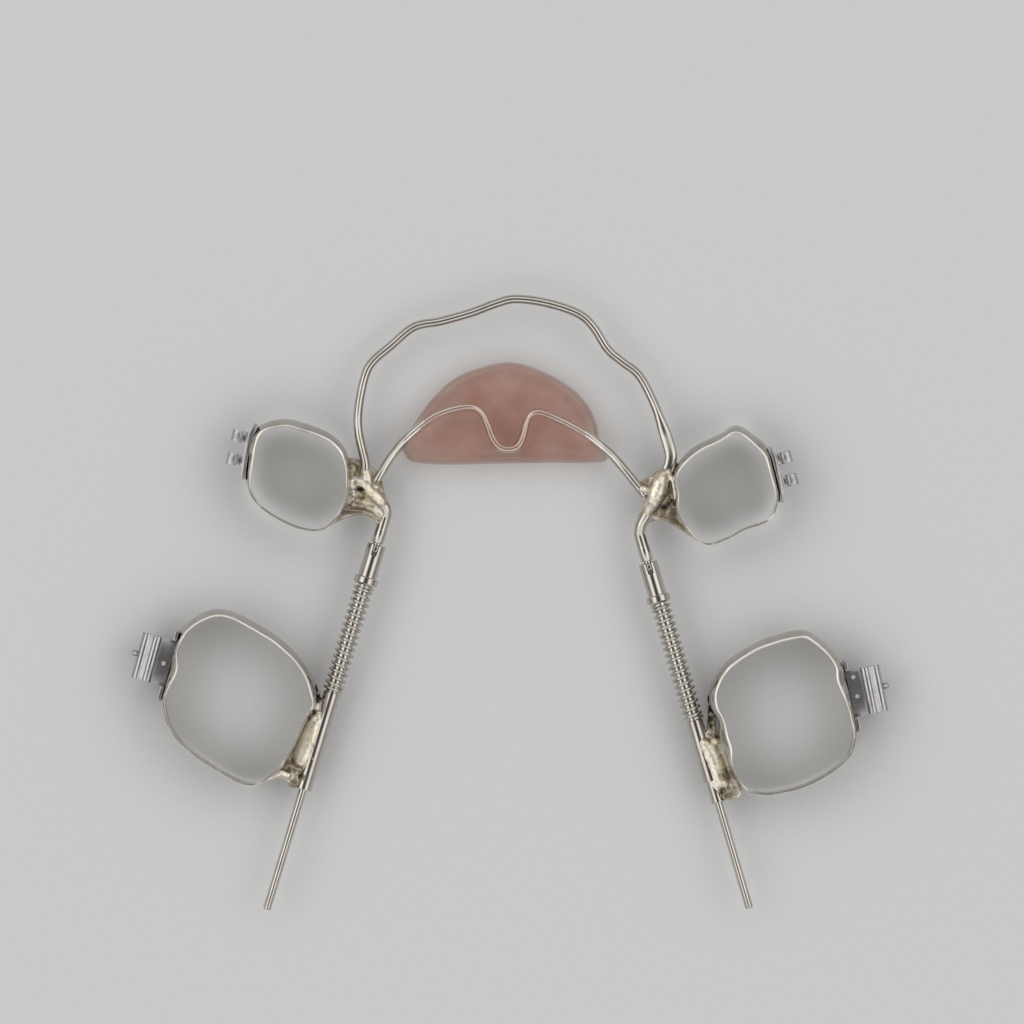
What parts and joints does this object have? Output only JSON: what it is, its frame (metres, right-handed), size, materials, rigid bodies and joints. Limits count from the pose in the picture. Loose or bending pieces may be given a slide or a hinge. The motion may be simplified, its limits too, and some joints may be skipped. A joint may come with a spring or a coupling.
{
  "type": "molar distalizer",
  "caption": "Orthodontic molar distalizer: banded anchorage with arched and looped palatal wires and an acrylic button, and sprung telescopes that slide the molar bands back",
  "frame": {"origin": "centre of the bounding box's footprint, at the height of the surface that the appliance lies on", "axes": "+Z towards the biting side, +Y to the front teeth, +X to the viewer's right as seen from the biting side"},
  "size_m": [0.0584, 0.0474, 0.0051],
  "materials": {
    "acrylic_button": "translucent pink acrylic, polished",
    "silver_solder": "silver solder, uneven, slightly golden",
    "stainless_steel": "polished stainless steel",
    "spring_steel": "bright drawn spring wire",
    "cast_steel": "satin cast stainless steel"
  },
  "bodies": {
    "anchorage": {"acrylic_button": "acrylic_button", "anterior_palatal_wire": "stainless_steel", "coil_spring_left": "spring_steel", "coil_spring_right": "spring_steel", "distal_arm_left": "stainless_steel", "distal_arm_right": "stainless_steel", "guide_rod_left": "stainless_steel", "guide_rod_right": "stainless_steel", "guide_tube_left": "stainless_steel", "guide_tube_right": "stainless_steel", "nance_wire": "stainless_steel", "premolar_band_left": "stainless_steel", "premolar_band_right": "stainless_steel", "premolar_bracket_left": "cast_steel", "premolar_bracket_right": "cast_steel", "premolar_solder_left": "silver_solder", "premolar_solder_right": "silver_solder", "spring_sleeve_left": "stainless_steel", "spring_sleeve_right": "stainless_steel"},
    "molar_unit_left": {"molar_band_left": "stainless_steel", "palatal_tube_left": "stainless_steel", "molar_solder_left": "silver_solder", "buccal_tube_left": "cast_steel"},
    "molar_unit_right": {"molar_band_right": "stainless_steel", "palatal_tube_right": "stainless_steel", "molar_solder_right": "silver_solder", "buccal_tube_right": "cast_steel"}
  },
  "joints": [
    {"name": "molar_slide_left", "type": "slide", "parent": "anchorage", "child": "molar_unit_left", "axis": [-0.289, -0.9573, 0], "range_m": [-0.005, 0.005], "deforming": ["coil_spring_left"]},
    {"name": "molar_slide_right", "type": "slide", "parent": "anchorage", "child": "molar_unit_right", "axis": [0.2823, -0.9593, 0], "range_m": [-0.005, 0.005], "deforming": ["coil_spring_right"]}
  ]
}
